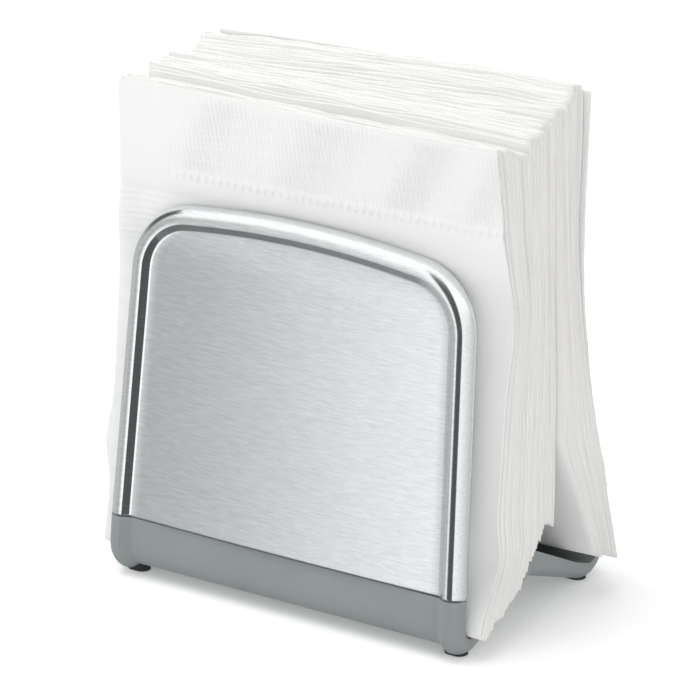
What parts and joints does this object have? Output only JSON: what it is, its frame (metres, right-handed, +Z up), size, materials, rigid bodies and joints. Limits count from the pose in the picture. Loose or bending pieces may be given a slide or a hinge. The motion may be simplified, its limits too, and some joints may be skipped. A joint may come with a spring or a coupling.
{
  "type": "napkin dispenser",
  "caption": "Upright napkin dispenser: leaning steel-faced panels on a grey plastic base, whose raised middle splits standing folded napkins into a front and a rear stack.",
  "frame": {"origin": "on the table, under the middle of the base", "axes": "+X to the right across the panels, -Y towards the front panel, +Z up"},
  "size_m": [0.146, 0.095, 0.172],
  "materials": {
    "steel_face": "satin",
    "grey_plastic": "satin",
    "bond_foam": "matte",
    "ballast_steel": "matte",
    "screw_steel": "satin",
    "foot_rubber": "matte",
    "napkin_paper": "matte"
  },
  "bodies": {
    "holder": {"front_skin": "steel_face", "rear_skin": "steel_face", "front_bond_sheet": "bond_foam", "rear_bond_sheet": "bond_foam", "front_upright": "grey_plastic", "rear_upright": "grey_plastic", "saddle": "grey_plastic", "base_cover": "grey_plastic", "ballast_bar": "ballast_steel", "ballast_screws": "screw_steel", "cover_screws": "screw_steel", "front_upright_screws": "screw_steel", "rear_upright_screws": "screw_steel", "front_left_foot": "foot_rubber", "front_right_foot": "foot_rubber", "rear_left_foot": "foot_rubber", "rear_right_foot": "foot_rubber", "front_stack": "napkin_paper", "rear_stack": "napkin_paper"},
    "front_leaf": {"front_napkin": "napkin_paper"},
    "rear_leaf": {"rear_napkin": "napkin_paper"}
  },
  "joints": [
    {"name": "front_napkin_pull", "type": "slide", "parent": "holder", "child": "front_leaf", "axis": [0, 0.1026, 0.9947], "range_m": [0, 0.165]},
    {"name": "rear_napkin_pull", "type": "slide", "parent": "holder", "child": "rear_leaf", "axis": [0, -0.1026, 0.9947], "range_m": [0, 0.165]}
  ]
}
